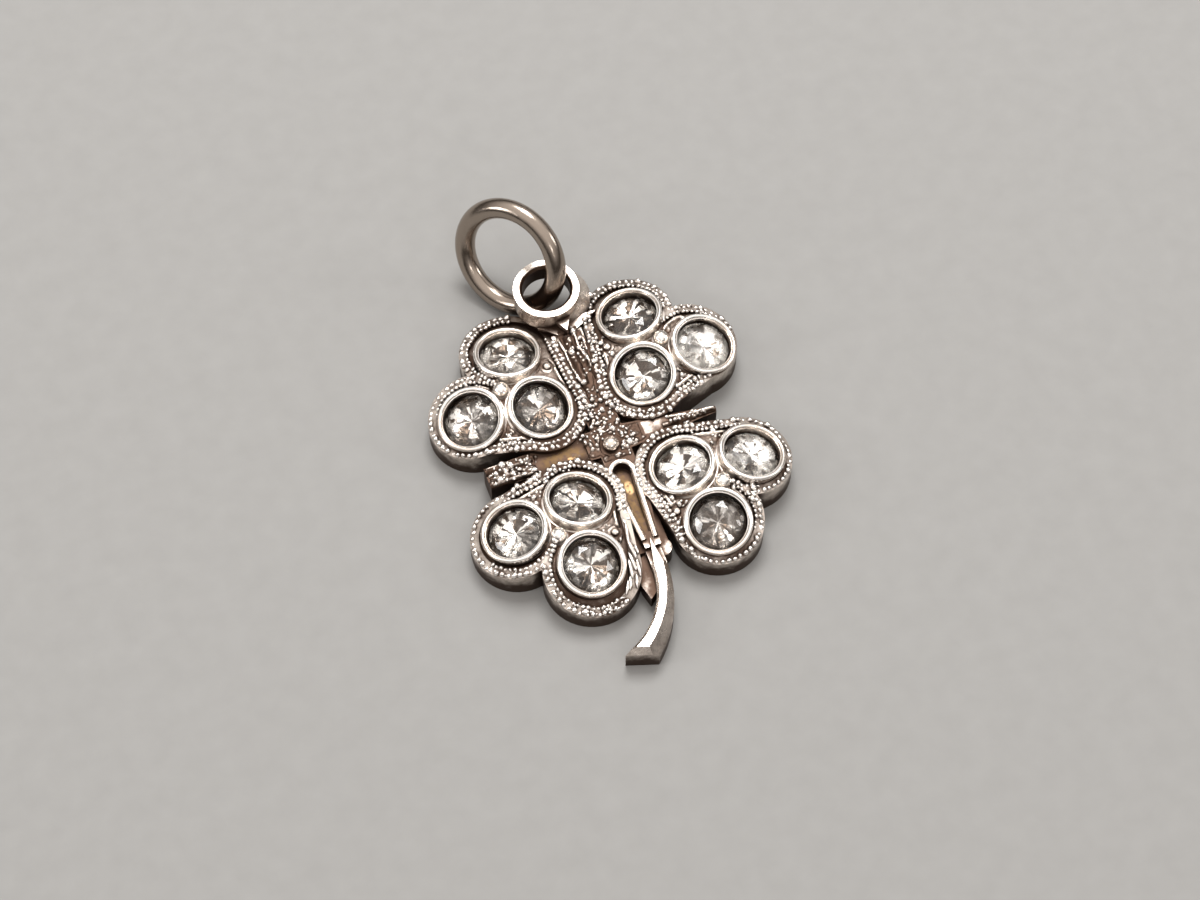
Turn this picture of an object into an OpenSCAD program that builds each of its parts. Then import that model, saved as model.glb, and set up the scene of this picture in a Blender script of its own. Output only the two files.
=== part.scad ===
// Four leaf clover pendant: a cast and soldered silver setting with twelve
// round stones, a curved stem, a small eye at the top and a jump ring.
// It lies flat on its back. +Y points from the clover's middle to the eye,
// +Z out of the face, and the origin is on the back under the middle.

/* [Leaves] */
// Middle of the clover to an inner cup, along each axis
cup_near = 2.53; // [2.45:0.01:2.7]
// Middle of the clover to an outer cup, along the leaf's longer way
cup_far = 5.88; // [5.75:0.01:6.2]
// Middle of the clover to an outer cup, along the shorter way
cup_side = 3.07; // [2.9:0.01:3.2]
// Radius of a leaf's lobe round its cup
lobe_r = 2.2; // [2.1:0.01:2.4]
// Height of a leaf's field above the back, at its crown
leaf_h = 1.9; // [1.8:0.05:2.2]
// Radius of a leaf's domed face
dome_r = 11; // [9:0.5:16]
// Middle of the clover to a dome's crown, along each axis
crown_at = 3.4; // [3:0.05:4]
// Width of the raised border round a leaf
border_w = 0.42; // [0.3:0.01:0.6]
// Height of the border above the field
border_rise = 0.18; // [0.1:0.01:0.3]

/* [Cups and stones] */
// Girdle diameter of a stone
stone_d = 2.6; // [2.3:0.01:2.65]
// Free space between a stone and its cup
stone_fit = 0.05; // [0.03:0.005:0.08]
// Wall thickness of a cup
cup_wall = 0.25; // [0.2:0.01:0.3]
// Height of the middle of a cup's rim above the back
rim_h = 2.05; // [1.95:0.01:2.3]
// Girdle of a stone below the cup's rim
stone_drop = 0.45; // [0.35:0.01:0.5]
// Lean of a cup away from the middle of its leaf
cup_lean = 14; // [8:0.5:18]
// Crown height of a stone
crown_h = 0.33; // [0.25:0.01:0.42]
// Pavilion depth of a stone
pavilion_h = 1.02; // [0.9:0.01:1.1]

/* [Spine and grains] */
// Height of the spine between the leaves
spine_h = 1.5; // [1.3:0.05:1.7]
// Width of the spine's arms
spine_w = 1.5; // [1.3:0.05:1.8]
// Thickness of the ribs on the spine
rib_d = 0.36; // [0.26:0.01:0.45]
// Diameter of the ball grain between the cups of a leaf
grain_d = 0.76; // [0.6:0.01:0.9]
// Diameter of the small ball grain beside the spine
small_grain_d = 0.42; // [0.3:0.01:0.5]
// Diameter of the ball at the middle of the clover
middle_ball_d = 0.78; // [0.6:0.01:1]

/* [Stem] */
// Bend radius of the stem's middle line
stem_r = 4.7; // [4.2:0.1:6]
// Length of the stem along its bend
stem_length = 4.75; // [4.2:0.05:5.5]
// Width of the stem where it starts
stem_w_top = 0.74; // [0.65:0.01:0.9]
// Width of the stem at its end
stem_w_end = 1.14; // [1:0.01:1.4]
// Thickness of the stem
stem_h = 1.45; // [1.2:0.05:1.7]
// Chamfer along the stem's inner top edge
stem_chamfer = 0.12; // [0.06:0.01:0.2]
// Bevel along the stem's outer top edge, where the stem starts
stem_bevel = 0.18; // [0.12:0.01:0.25]
// How much wider that bevel is at the stem's end
bevel_growth = 0.4; // [0.25:0.01:0.5]
// Bevel along the stem's cut end
end_bevel = 0.3; // [0.2:0.01:0.4]
// Slant of the stem's cut end, from level
stem_cut = 18; // [0:1:40]

/* [Eye and jump ring] */
// Edge of the upper left leaf to the middle of the eye, where the ring passes
eye_room = 1.05; // [1:0.01:1.3]
// Middle of the eye from the clover's axis, to the left
eye_side = 0.27; // [0.15:0.01:0.35]
// Bore of the eye
eye_bore = 2.3; // [2.3:0.01:2.6]
// Wall of the eye
eye_wall = 0.43; // [0.36:0.01:0.6]
// Height of the eye
eye_h = 1.1; // [1:0.01:1.15]
// Wire of the jump ring
ring_wire = 0.98; // [0.85:0.01:1]
// Outer diameter of the jump ring
ring_d = 6.08; // [6:0.01:6.3]
// Lean of the jump ring's plane from level
ring_lean = 63.7; // [62:0.1:68]

/* [Hidden] */
$fn = 64;

// Small overlap where one form of the setting runs into the next
bite = 0.1;
// Spare length of a cutting or cut-down shape above the face
spare = 1;

// Cups and stones
stone_r = stone_d / 2;
cup_in = stone_r + stone_fit;
cup_out = cup_in + cup_wall;
// Radius of the rolled bead on a cup's rim, a little fatter than the wall
bead_proud = 0.01;
bead_r = cup_wall / 2 - bead_proud;
bead_at = cup_out - bead_r + bead_proud;
girdle_h = 0.06;
table_share = 0.56;
star_share = 0.78;
lower_share = 0.25;
cup_depth = stone_drop + girdle_h / 2 + pavilion_h + 2 * stone_fit;

// Leaves: the middle of each leaf's three cups
leaf_mid = (cup_near + cup_far + cup_side) / 3;
INNER = [cup_near, cup_near];
UPPER = [cup_side, cup_far];
OUTER = [cup_far, cup_side];
// Each leaf is drawn in the quarter right of the middle and above it, and is
// mirrored left or down where the table says so. Its two lobes are stepped from
// their cups, and sized, in shares of the lobe's radius:
// [long step, side step, radius] of the upright lobe, then of the level lobe.
LEFT = 0;
DOWN = 1;
UPRIGHT = 2;
LEVEL = 3;
LEAVES = [
    [1, 0, [ 0.09, -0.05, 1.07], [-0.10,  0.12, 0.97]],
    [0, 0, [ 0.12, -0.01, 1.00], [-0.20,  0.20, 0.97]],
    [1, 1, [-0.01,  0.01, 1.04], [-0.06,  0.03, 0.99]],
    [0, 1, [-0.14,  0.05, 0.98], [-0.10, -0.02, 0.96]]
];
// Rows of the table: the upper and lower, left and right leaves
UL = 0;
UR = 1;
LL = 2;
LR = 3;
// Share of the radius at which the sides run from circle to circle
side_share = 0.97;
// Steps of a leaf's grains: outward from the middle of its cups, and back from
// the upper cup
grain_step = 0.2;
small_grain_back = 1.25;

// Spine: how far its arms reach, its dish and its hole
arm_left = cup_far * 1.034;
arm_right = cup_far * 0.88;
arm_top = cup_far * 1.05;
arm_low = cup_far * 0.983;
dish_r = 1.6;
dish_depth = 0.2;
dish_length = 2.6;
hole_at = [-spine_w * 0.067, -cup_near * 0.7];
hole_d = 0.84;
hole_depth = 0.8;
web_h = spine_h * 0.7;
// Low round boss at the middle, and the ball that sits on it
boss_r = 1.8;
boss_rise = 0.12;
ball_at = [-spine_w * 0.067, -spine_w * 0.18];

// Eye and jump ring
ring_r = (ring_d - ring_wire) / 2;
// The wire passes under the eye, so the eye sits this far above the back
wire_room = 0.52;
eye_low = ring_wire + wire_room;
eye_round = 0.2;
collar_w = 0.12;
flat_w = 0.8;
flat_length = 0.7;
// The ring's plane climbs this way, and its wire passes close to the bore's axis
ring_turn = 36;
pass_side = ring_wire * 0.05;
floor_gap = 0.02;
ring_mid_h = ring_r * sin(ring_lean) + ring_wire / 2 + floor_gap;
// Sine of the angle along the ring, from level, where the wire passes the bore
pass_h = eye_low + eye_h / 2;
pass_sin = (pass_h - ring_mid_h) / (ring_r * sin(ring_lean));
pass_cos = sqrt(1 - pass_sin * pass_sin);
level_way = [sin(ring_turn), -cos(ring_turn), 0];
climb_way = [
    cos(ring_turn) * cos(ring_lean),
    sin(ring_turn) * cos(ring_lean),
    sin(ring_lean)
];

// Stem: its pointed tip, where its bend starts, and how far it turns
stem_tip = [-spine_w * 0.067, -cup_far * 0.918];
stem_from = [stem_tip.x, -cup_far * 1.122];
stem_angle = stem_length / stem_r * 180 / PI;
tip_slope = 8;

// Middle of the lobe round an outer cup of a leaf
function lobe_at(leaf, which) =
    let (step = leaf[which] * lobe_r)
    which == UPRIGHT
        ? [cup_side + step[1], cup_far + step[0]]
        : [cup_far + step[0], cup_side + step[1]];

// Middle of the eye, clear of the edge of the upper left leaf's upright lobe
lobe_by_eye = lobe_at(LEAVES[UL], UPRIGHT);
eye_from_lobe = LEAVES[UL][UPRIGHT][2] * lobe_r + eye_room;
lobe_to_eye_x = lobe_by_eye.x - eye_side;
eye_at = [-eye_side, lobe_by_eye.y + sqrt(eye_from_lobe * eye_from_lobe - lobe_to_eye_x * lobe_to_eye_x)];
ring_pass = [eye_at.x + pass_side, eye_at.y - pass_side, pass_h];
ring_mid = ring_pass - ring_r * (pass_cos * level_way + pass_sin * climb_way);

// Unit vector to the right of the way between two points
function right_of(from, to) =
    let (way = (to - from) / norm(to - from))
    [way.y, -way.x];

// Mirrors a child into a leaf's own quarter
module in_quarter(leaf) {
    mirror([leaf[LEFT], 0, 0])
        mirror([0, leaf[DOWN], 0])
            children();
}

// Outline of a leaf, drawn in by an inset all round: a circle at each cup, and
// straight sides that run from the inner circle to the two lobes
module leaf_outline(leaf, inset) {
    near = [cup_near, cup_near];
    upright = lobe_at(leaf, UPRIGHT);
    level = lobe_at(leaf, LEVEL);
    near_r = lobe_r - inset;
    upright_r = leaf[UPRIGHT][2] * lobe_r - inset;
    level_r = leaf[LEVEL][2] * lobe_r - inset;
    level_side = side_share * right_of(near, level);
    upright_side = side_share * right_of(upright, near);
    translate(near)
        circle(near_r);
    translate(upright)
        circle(upright_r);
    translate(level)
        circle(level_r);
    polygon([
        near + level_side * near_r,
        level + level_side * level_r,
        level,
        upright,
        upright + upright_side * upright_r,
        near + upright_side * near_r
    ]);
}

// The ball that domes a leaf's face, raised by a height
module leaf_dome(rise) {
    translate([crown_at, crown_at, leaf_h - dome_r])
        sphere(dome_r + rise, $fn = 180);
}

// A leaf: a flat-backed plate with a domed field and a raised border
module leaf_plate(leaf) {
    difference() {
        intersection() {
            linear_extrude(height = leaf_h + spare)
                leaf_outline(leaf, 0);
            leaf_dome(border_rise);
        }
        difference() {
            linear_extrude(height = leaf_h + spare)
                leaf_outline(leaf, border_w);
            leaf_dome(0);
        }
    }
}

// Puts a child, drawn with its rim at the origin, where a cup is
module at_cup(cup) {
    out = cup - [leaf_mid, leaf_mid];
    way = atan2(out.y, out.x);
    translate([cup.x, cup.y, rim_h])
        rotate([0, 0, way])
            rotate([0, cup_lean, 0])
                children();
}

// Puts a child at the three cups of a leaf
module at_cups() {
    for (cup = [INNER, UPPER, OUTER])
        at_cup(cup)
            children();
}

// Outside of a cup, sunk into the leaf
module cup_body() {
    translate([0, 0, -cup_depth * 0.8])
        cylinder(r = cup_out, h = cup_depth * 0.8 - bead_r);
}

// Hollow of a cup: a straight wall, then a seat for the stone's pavilion
module cup_hollow() {
    seat_h = stone_drop + girdle_h / 2 + stone_fit;
    rotate_extrude()
        polygon([
            [0, -cup_depth],
            [stone_r * 0.18, -cup_depth],
            [cup_in, -seat_h],
            [cup_in, bead_r],
            [0, bead_r]
        ]);
}

// Rolled bead on a cup's rim
module cup_bead() {
    translate([0, 0, -bead_r])
        rotate_extrude()
            translate([bead_at, 0])
                circle(bead_r, $fn = 32);
}

// A ball grain between a leaf's cups, and a small one beside the spine
module grains() {
    translate([leaf_mid + grain_step, leaf_mid + grain_step, leaf_h + grain_d * 0.15])
        sphere(d = grain_d, $fn = 32);
    translate([cup_near * 0.6, cup_far - small_grain_back, leaf_h - small_grain_d * 0.6])
        sphere(d = small_grain_d, $fn = 32);
}

// A half-sunk round rib from point to point
module rib(from, to, d) {
    way = to - from;
    translate([from.x, from.y, spine_h])
        rotate([0, 90, atan2(way.y, way.x)])
            cylinder(d = d, h = norm(way), $fn = 32);
}

// Cross-shaped spine between the leaves: arms in the left, right, top and lower
// gaps, a dish in the left one, and a hole and a channel in the lower one
module spine_arms() {
    half = spine_w / 2;
    // Low webs that close the middle and the lower gap, with a round end
    cylinder(r = cup_near, h = web_h);
    translate([-half, -arm_low, 0])
        cube([spine_w, arm_low - cup_near, web_h]);
    translate([half * 0.5, -arm_low, 0])
        cylinder(r = half * 0.6, h = web_h);
    difference() {
        linear_extrude(height = spine_h) {
            polygon([[0, -half], [0, half], [-arm_left, half * 0.8], [-arm_left, -half * 0.65]]);
            polygon([[0, -half], [arm_right, -half * 0.42], [arm_right, half * 0.02], [0, half]]);
            polygon([
                [-half * 0.6, -arm_low],
                [half * 0.4, -arm_low],
                [half, -cup_near],
                [half, arm_top],
                [-half, arm_top],
                [-half, -cup_near]
            ]);
        }
        translate([-cup_near, 0, spine_h + dish_r - dish_depth])
            rotate([90, 0, 90])
                cylinder(r = dish_r, h = dish_length, center = true);
        translate([hole_at.x, hole_at.y, spine_h - hole_depth])
            cylinder(d = hole_d, h = hole_depth + spare, $fn = 32);
        // Channel from the hole to the stem's tip
        translate([0, 0, spine_h - hole_depth / 2])
            linear_extrude(height = hole_depth)
                polygon([
                    [hole_at.x - half * 0.5, hole_at.y],
                    [stem_tip.x - rib_d * 0.4, stem_tip.y + rib_d],
                    [stem_tip.x + rib_d * 0.4, stem_tip.y + rib_d],
                    [hole_at.x + half * 0.5, hole_at.y]
                ]);
    }
}

// Ribs that lie along the spine's arms, and the arch over its hole, whose two
// sides run together where the stem starts
module spine_ribs() {
    half = spine_w / 2;
    thin = rib_d * 0.8;
    // Two ribs of the left gap and the ridge of the right one
    rib([-arm_left, half * 0.5], [-cup_near * 1.5, half * 0.5], rib_d);
    rib([-arm_left, -half * 0.45], [-cup_near * 1.5, -half * 0.45], rib_d);
    rib([cup_near, -half * 0.2], [arm_right, -half * 0.2], thin);
    // Ribs of the top gap
    rib([hole_at.x, cup_near * 1.25], [hole_at.x, cup_far], rib_d);
    rib([half * 0.8, cup_near * 1.25], [half * 0.6, cup_near * 1.8], thin);
    // Arch over the hole, and its sides
    translate([hole_at.x, hole_at.y, spine_h])
        rotate_extrude(angle = 180)
            translate([hole_d / 2 + thin / 2, 0])
                circle(d = thin, $fn = 32);
    rib([hole_at.x - half * 0.73, hole_at.y], [stem_tip.x - thin, stem_tip.y], thin);
    rib([hole_at.x + half * 0.73, hole_at.y], [stem_tip.x + thin, stem_tip.y], thin);
}

// Low boss and ball at the middle of the clover
module middle() {
    intersection() {
        translate([0, 0, spine_h + boss_rise - boss_r])
            sphere(boss_r, $fn = 96);
        translate([0, 0, spine_h / 2])
            cylinder(r = boss_r, h = spine_h);
    }
    translate([ball_at.x, ball_at.y, spine_h + boss_rise])
        sphere(d = middle_ball_d, $fn = 32);
}

// Radius of the arc that starts straight down and steps aside by side over run
function arc_r(side, run) = (side * side + run * run) / (2 * side);

// Curved stem: wider and cut off at its end, flat on top between a bevel and a
// chamfer, with a pointed start that climbs onto the spine
module stem() {
    bend = stem_from - [stem_r, 0];
    end_way = [cos(stem_angle), -sin(stem_angle)];
    end = bend + stem_r * end_way;
    outer_end = end + stem_w_end / 2 * end_way;
    inner_end = end - stem_w_end / 2 * end_way;
    outer_x = stem_from.x + stem_w_top / 2;
    inner_x = stem_from.x - stem_w_top / 2;
    outer_r = arc_r(outer_x - outer_end.x, stem_from.y - outer_end.y);
    inner_r = arc_r(inner_x - inner_end.x, stem_from.y - inner_end.y);
    bevel_r = outer_r - stem_bevel;
    side_h = stem_h - stem_chamfer;
    cut_way = [cos(stem_cut), -sin(stem_cut)];
    intersection() {
        difference() {
            translate([outer_x - outer_r, stem_from.y, 0])
                intersection() {
                    cylinder(r = outer_r, h = stem_h, $fn = 180);
                    // The cone stands aside, so that its bevel widens along the stem
                    translate([0, bevel_growth / sin(stem_angle), 0])
                        cylinder(r1 = bevel_r + stem_h, r2 = bevel_r, h = stem_h, $fn = 180);
                }
            translate([inner_x - inner_r, stem_from.y, -spare])
                cylinder(r = inner_r, h = side_h + spare, $fn = 180);
            translate([inner_x - inner_r, stem_from.y, side_h])
                cylinder(r1 = inner_r, r2 = inner_r + stem_chamfer * 2, h = stem_chamfer * 2, $fn = 180);
            translate([end.x, end.y, stem_h - end_bevel])
                rotate([45, 0, -stem_cut])
                    translate([-stem_length / 2, -stem_length / 2, 0])
                        cube(stem_length);
        }
        translate([0, 0, -spare])
            linear_extrude(height = stem_h + 2 * spare)
                polygon([
                    end - stem_w_end * 1.5 * cut_way,
                    end + stem_w_end * 2 * cut_way,
                    [stem_from.x + stem_w_end * 2, stem_from.y],
                    [end.x - stem_w_end * 1.5, stem_from.y]
                ]);
    }
    // Pointed start
    intersection() {
        linear_extrude(height = stem_h + spare)
            polygon([
                [inner_x + stem_chamfer, stem_from.y - bite],
                [outer_x - stem_bevel, stem_from.y - bite],
                [outer_x - stem_bevel, stem_from.y],
                stem_tip,
                [inner_x + stem_chamfer, stem_from.y]
            ]);
        translate([inner_x, stem_from.y - bite, stem_h])
            rotate([tip_slope, 0, 0])
                translate([0, 0, -stem_h * 2])
                    cube([stem_w_top, cup_near, stem_h * 2]);
    }
    translate([inner_x, stem_from.y - bite, 0])
        cube([stem_w_top, cup_near, stem_h - stem_bevel]);
    // Low fin between the stem and the lower left leaf, in stem widths
    linear_extrude(height = stem_h * 0.6)
        polygon([for (p = [[-0.1, -1.2], [-0.9, -0.2], [-0.95, 0.9], [-0.7, 1.9], [0.2, 1.2], [0.5, -1]])
            [inner_x, stem_from.y] + stem_w_top * [p.x, -p.y]]);
}

// Eye for the jump ring, and the neck that carries it
module eye() {
    outer_d = eye_bore + 2 * eye_wall;
    neck_top = eye_at.y - eye_bore / 2 - eye_wall / 2;
    difference() {
        union() {
            translate([eye_at.x, eye_at.y, eye_low])
                cylinder(d = outer_d, h = eye_h);
            // Sloping collar towards the upper right leaf
            translate([eye_at.x + eye_wall, eye_at.y, eye_low])
                cylinder(r1 = outer_d / 2 + collar_w, r2 = eye_bore * 0.45, h = eye_h * 0.85);
            linear_extrude(height = eye_low + bite)
                polygon([
                    [-flat_w / 2, arm_top - bite],
                    [flat_w / 2, arm_top - bite],
                    [outer_d * 0.55, neck_top],
                    [-outer_d * 0.38, neck_top]
                ]);
        }
        translate([eye_at.x, eye_at.y, -spare])
            cylinder(d = eye_bore, h = eye_low + eye_h + 2 * spare);
        // Chamfers at the top and the foot of the bore
        translate([eye_at.x, eye_at.y, eye_low + eye_h - eye_round / 2])
            cylinder(d1 = eye_bore, d2 = eye_bore + 2 * eye_round, h = eye_round);
        translate([eye_at.x, eye_at.y, eye_low - eye_round / 2])
            cylinder(d1 = eye_bore + 2 * eye_round, d2 = eye_bore, h = eye_round);
    }
    // Small three-cornered flat under the eye
    flat_top = eye_at.y - outer_d / 2 + bite;
    linear_extrude(height = eye_low + eye_h / 2)
        polygon([[0, flat_top - flat_length], [flat_w / 2, flat_top], [-flat_w / 2, flat_top]]);
}

// A leaf with its three cups and its grains
module leaf_with_cups(leaf) {
    in_quarter(leaf) {
        difference() {
            union() {
                leaf_plate(leaf);
                at_cups()
                    cup_body();
            }
            at_cups()
                cup_hollow();
        }
        at_cups()
            cup_bead();
        grains();
    }
}

module clover_setting() {
    color([0.76, 0.73, 0.69]) {
        for (leaf = LEAVES)
            leaf_with_cups(leaf);
        difference() {
            union() {
                spine_arms();
                spine_ribs();
                middle();
            }
            for (leaf = LEAVES)
                in_quarter(leaf)
                    at_cups()
                        cup_hollow();
        }
        stem();
        eye();
    }
}

// Points round a ring: count, first angle, radius and height
function ring_points(count, first, r, z) =
    [for (i = [0:count - 1]) [r * cos(first + i * 360 / count), r * sin(first + i * 360 / count), z]];

// Height, between girdle and tip, of a facet's plane at a share of the radius
function facet_h(share, tip_share, tip_h) = tip_h * (1 - share * cos(22.5)) / (1 - tip_share);

// Round brilliant with its girdle at the origin: table, stars, kites, girdle,
// lower halves and pavilion mains
module brilliant() {
    half = girdle_h / 2;
    table = ring_points(8, 0, stone_r * table_share, half + crown_h);
    stars = ring_points(8, 22.5, stone_r * star_share, half + facet_h(star_share, table_share, crown_h));
    upper = ring_points(16, 0, stone_r, half);
    lower = ring_points(16, 0, stone_r, -half);
    mains = ring_points(8, 22.5, stone_r * lower_share, -half - facet_h(lower_share, 0, pavilion_h));
    culet = [[0, 0, -half - pavilion_h]];
    function next(i, count) = (i + 1) % count;
    faces = concat(
        [[for (i = [7:-1:0]) i]],
        [for (i = [0:7]) [i, next(i, 8), 8 + i]],
        [for (i = [0:7]) [next(i, 8), 16 + 2 * next(i, 8), 8 + i]],
        [for (i = [0:7]) [i, 8 + i, 16 + 2 * i]],
        [for (i = [0:7]) [8 + i, 16 + 2 * i + 1, 16 + 2 * i]],
        [for (i = [0:7]) [8 + i, 16 + 2 * next(i, 8), 16 + 2 * i + 1]],
        [for (i = [0:15]) [16 + i, 16 + next(i, 16), 32 + next(i, 16)]],
        [for (i = [0:15]) [16 + i, 32 + next(i, 16), 32 + i]],
        [for (i = [0:7]) [48 + i, 32 + 2 * i, 32 + 2 * i + 1]],
        [for (i = [0:7]) [48 + i, 32 + 2 * i + 1, 32 + 2 * next(i, 8)]],
        [for (i = [0:7]) [48 + i, 32 + 2 * next(i, 8), 56]],
        [for (i = [0:7]) [48 + i, 56, 32 + 2 * i]]
    );
    polyhedron(concat(table, stars, upper, lower, mains, culet), faces);
}

// A stone in a cup of a leaf, turned by an angle
module stone(leaf, cup, turn) {
    color([0.9, 0.92, 0.93])
        in_quarter(LEAVES[leaf])
            at_cup(cup)
                translate([0, 0, -stone_drop])
                    rotate([0, 0, turn])
                        brilliant();
}

module jump_ring() {
    color([0.6, 0.56, 0.52])
        translate(ring_mid)
            rotate([0, -ring_lean, ring_turn])
                rotate_extrude($fn = 96)
                    translate([ring_r, 0])
                        circle(d = ring_wire, $fn = 32);
}

clover_setting();
stone(UL, INNER, 5);  // stone_ul_in
stone(UL, UPPER, 12);  // stone_ul_top
stone(UL, OUTER, 31);  // stone_ul_out
stone(UR, INNER, 8);  // stone_ur_in
stone(UR, UPPER, 27);  // stone_ur_top
stone(UR, OUTER, 15);  // stone_ur_out
stone(LL, INNER, 38);  // stone_ll_in
stone(LL, UPPER, 19);  // stone_ll_low
stone(LL, OUTER, 2);  // stone_ll_out
stone(LR, INNER, 22);  // stone_lr_in
stone(LR, UPPER, 34);  // stone_lr_low
stone(LR, OUTER, 10);  // stone_lr_out
jump_ring();
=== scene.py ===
import math
import random

import bmesh
import bpy
from mathutils import Matrix, Vector
from mathutils.bvhtree import BVHTree


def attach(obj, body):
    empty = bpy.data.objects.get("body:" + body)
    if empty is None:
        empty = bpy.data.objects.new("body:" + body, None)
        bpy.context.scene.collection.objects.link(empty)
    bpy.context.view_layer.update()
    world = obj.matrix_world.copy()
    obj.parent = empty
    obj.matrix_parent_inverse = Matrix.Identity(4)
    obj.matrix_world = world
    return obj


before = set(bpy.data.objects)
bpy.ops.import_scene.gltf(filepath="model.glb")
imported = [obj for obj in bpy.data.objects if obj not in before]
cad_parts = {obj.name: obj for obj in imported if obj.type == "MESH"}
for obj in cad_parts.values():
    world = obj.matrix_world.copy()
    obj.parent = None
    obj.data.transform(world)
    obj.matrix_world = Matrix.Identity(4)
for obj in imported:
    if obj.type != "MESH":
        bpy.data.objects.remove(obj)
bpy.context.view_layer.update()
scene = bpy.context.scene

# Cast setting: one worn silver casting of four leaves with their cups, spine,
# stem and eye. It was pickled, soldered and polished by hand, so that its rims
# are bright and its hollows kept a brown tarnish; the colour of the rims is
# also lifted by a painted highlight.
MM = 0.001
BRIGHT_SILVER = (0.88, 0.785, 0.70, 1)
# Near-white silver for the painted highlight on the rims and ball tops.
POLISHED_SILVER = (0.98, 0.935, 0.885, 1)
BROWN_TARNISH = (0.075, 0.047, 0.034, 1)
OLD_LACQUER = (0.11, 0.068, 0.034, 1)
GOLDEN_GLINT = (0.42, 0.27, 0.14, 1)
TARNISH_PATCH = 0.5 * MM
PATCH_SHARE = 0.55
FULLY_CLEANED = 1.2
STREAK = 0.385 * MM
STREAK_DULLNESS = 0.16
SKIN_WAVE = 0.9 * MM
SKIN_PIT = 0.14 * MM
PIT_SHARE = 0.25
HOLLOW_REACH = 0.45 * MM
PIT_OPEN, PEAK_OPEN = 0.35, 1.25
SOCKETS = {float: "NodeSocketFloat", tuple: "NodeSocketColor", int: "NodeSocketInt"}


def node(tree, kind, inputs=None, **settings):
    """Adds a node, makes its settings, and links or sets its inputs."""
    made = tree.nodes.new(kind)
    for name, value in settings.items():
        setattr(made, name, value)
    for name, value in (inputs or {}).items():
        if isinstance(value, bpy.types.NodeSocket):
            tree.links.new(value, made.inputs[name])
        else:
            made.inputs[name].default_value = value
    return made


def calc(tree, operation, *values):
    """Output of a Math node on some values."""
    return node(tree, "ShaderNodeMath", dict(enumerate(values)), operation=operation).outputs[0]


def greatest(tree, values):
    """The greatest of some values."""
    most = values[0]
    for value in values[1:]:
        most = calc(tree, "MAXIMUM", most, value)
    return most


def product(tree, values):
    """All of some values multiplied."""
    whole = values[0]
    for value in values[1:]:
        whole = calc(tree, "MULTIPLY", whole, value)
    return whole


def between(tree, value, low, high):
    """Takes a value from 0..1 to low..high."""
    return node(tree, "ShaderNodeMapRange", {"Value": value, "To Min": low, "To Max": high}).outputs[0]


def smooth_step(tree, value, start, end):
    """0 up to start, 1 from end on, and smooth between them."""
    return node(
        tree, "ShaderNodeMapRange", {"Value": value, "From Min": start, "From Max": end},
        interpolation_type="SMOOTHSTEP",
    ).outputs[0]


def noise(tree, place, size, detail, roughness=0.5):
    """Noise with lumps of a size in metres."""
    return node(
        tree, "ShaderNodeTexNoise",
        {"Vector": place, "Scale": calc(tree, "DIVIDE", 1.0, size), "Detail": detail, "Roughness": roughness},
    ).outputs["Fac"]


def blend(tree, factor, first, second):
    """Mixes two colours."""
    return node(
        tree, "ShaderNodeMix", {"Factor": factor, "A": first, "B": second}, data_type="RGBA"
    ).outputs["Result"]


def shader_group(name, inputs, outputs):
    """Starts a shader group, and gives its tree, its inputs and its output node."""
    tree = bpy.data.node_groups.new(name, "ShaderNodeTree")
    for way, sockets in (("INPUT", inputs), ("OUTPUT", outputs)):
        for label, example in sockets.items():
            tree.interface.new_socket(label, in_out=way, socket_type=SOCKETS[type(example)])
    return tree, tree.nodes.new("NodeGroupInput").outputs, tree.nodes.new("NodeGroupOutput")


def finish_start(name):
    """Starts a material, and gives it, its tree, its Principled node and its Object coordinates."""
    finish = bpy.data.materials.new(name)
    finish.use_nodes = True
    tree = finish.node_tree
    place = node(tree, "ShaderNodeTexCoord").outputs["Object"]
    return finish, tree, tree.nodes["Principled BSDF"], place


tarnish_group, ins, out = shader_group(
    "Tarnish",
    {"Place": (), "Openness": 0.0, "Bright": (), "Tarnish": (), "Patch": 0.0, "Cleaned": 0.0, "Polish": 0.0,
     "Dullness": 0.0},
    {"Color": (), "Roughness": 0.0},
)
patches = noise(tarnish_group, ins["Place"], ins["Patch"], 5.0, 0.62)
openness = calc(tarnish_group, "MULTIPLY_ADD", patches, PATCH_SHARE, ins["Openness"])
cleaned = smooth_step(tarnish_group, openness, ins["Cleaned"], FULLY_CLEANED)
coat = blend(tarnish_group, cleaned, ins["Tarnish"], ins["Bright"])
streaks = noise(tarnish_group, ins["Place"], STREAK, 3.0)
sheen = between(tarnish_group, cleaned, ins["Dullness"], ins["Polish"])
dulled = calc(tarnish_group, "MULTIPLY_ADD", streaks, STREAK_DULLNESS, sheen)
tarnish_group.links.new(coat, out.inputs["Color"])
tarnish_group.links.new(dulled, out.inputs["Roughness"])

skin_group, ins, out = shader_group("Cast skin", {"Place": (), "Wave": 0.0, "Pits": 0.0}, {"Height": 0.0})
waves = noise(skin_group, ins["Place"], ins["Wave"], 2.0, 0.45)
pits = noise(skin_group, ins["Place"], ins["Pits"], 6.0, 0.7)
skin_group.links.new(calc(skin_group, "MULTIPLY_ADD", pits, PIT_SHARE, waves), out.inputs["Height"])


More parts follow.
